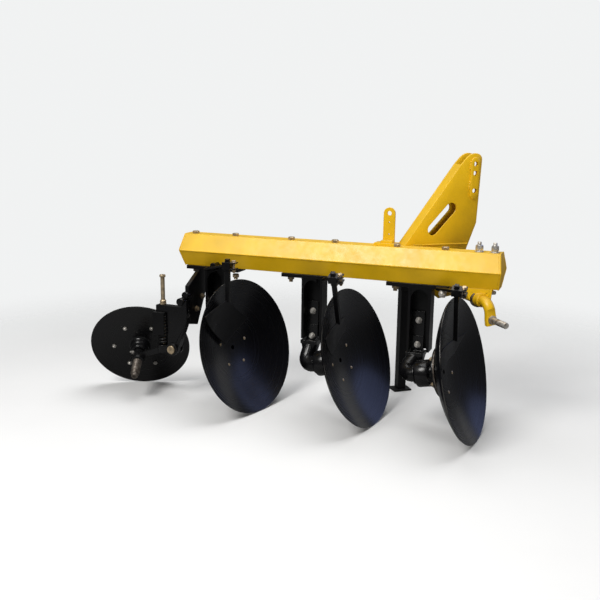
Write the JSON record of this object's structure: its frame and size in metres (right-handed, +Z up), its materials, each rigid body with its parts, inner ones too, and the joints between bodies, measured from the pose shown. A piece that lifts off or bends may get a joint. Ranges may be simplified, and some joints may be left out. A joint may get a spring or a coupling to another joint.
{
  "type": "disc plough",
  "caption": "Mounted disc plough: hexagonal tube beam set diagonally, dished discs on cranked legs with scrapers, sprung rear furrow wheel, hitch mast and cross shaft.",
  "frame": {"origin": "centre of the bounding box at floor level", "axes": "+Y in the direction of travel, +X to the right of the machine, +Z up"},
  "size_m": [1.491, 1.7854, 1.264],
  "materials": {
    "yellow_paint": "gloss enamel",
    "black_paint": "semi-gloss enamel",
    "black_casting": "semi-gloss enamel over a cast surface",
    "bare_steel": "zinc plated, slightly tarnished"
  },
  "bodies": {
    "frame": {"beam_cap_front": "yellow_paint", "beam_cap_rear": "yellow_paint", "cross_shaft": "yellow_paint", "leg_1": "black_casting", "leg_2": "black_casting", "leg_3": "black_casting", "link_pin_left": "bare_steel", "link_pin_right": "bare_steel", "main_beam": "yellow_paint", "mast_side_left": "yellow_paint", "mast_side_right": "yellow_paint", "mast_strap_left": "yellow_paint", "mast_strap_right": "yellow_paint", "mast_web": "yellow_paint", "pivot_pin": "bare_steel", "scraper_1": "black_paint", "scraper_2": "black_paint", "scraper_3": "black_paint", "scraper_arm_1": "black_paint", "scraper_arm_2": "black_paint", "scraper_arm_3": "black_paint", "shaft_bracket": "yellow_paint", "spring": "black_paint", "spring_guard": "black_paint", "stand_sleeve": "black_paint", "standard_1": "black_paint", "standard_2": "black_paint", "standard_3": "black_paint", "stay_lug": "yellow_paint", "tail_bolt": "bare_steel", "tail_bracket": "black_casting", "tail_cheek": "black_paint", "wheel_arm": "black_paint", "wheel_axle": "black_paint"},
    "disc_set_1": {"disc_1": "black_paint", "hub_1": "black_casting"},
    "disc_set_2": {"disc_2": "black_paint", "hub_2": "black_casting"},
    "disc_set_3": {"disc_3": "black_paint", "hub_3": "black_casting"},
    "furrow_wheel_set": {"furrow_wheel": "black_paint", "wheel_hub": "black_casting"},
    "stand": {"stand_leg": "black_paint"}
  },
  "joints": [
    {"name": "disc_1_spin", "type": "hinge", "parent": "frame", "child": "disc_set_1", "pos_m": [-0.24041, -0.22991, 0.29523], "axis": [0.7783, 0.5759, 0.2504], "continuous": true},
    {"name": "disc_2_spin", "type": "hinge", "parent": "frame", "child": "disc_set_2", "pos_m": [0.09811, 0.21705, 0.28889], "axis": [0.7069, 0.6478, 0.284], "continuous": true},
    {"name": "disc_3_spin", "type": "hinge", "parent": "frame", "child": "disc_set_3", "pos_m": [0.43854, 0.58543, 0.3012], "axis": [0.6903, 0.6903, 0.2164], "continuous": true},
    {"name": "furrow_wheel_spin", "type": "hinge", "parent": "frame", "child": "furrow_wheel_set", "pos_m": [-0.61529, -0.64246, 0.23421], "axis": [0.8748, -0.2426, -0.4195], "continuous": true},
    {"name": "stand_slide", "type": "slide", "parent": "frame", "child": "stand", "axis": [0, 0, 1], "range_m": [0, 0.3]}
  ]
}
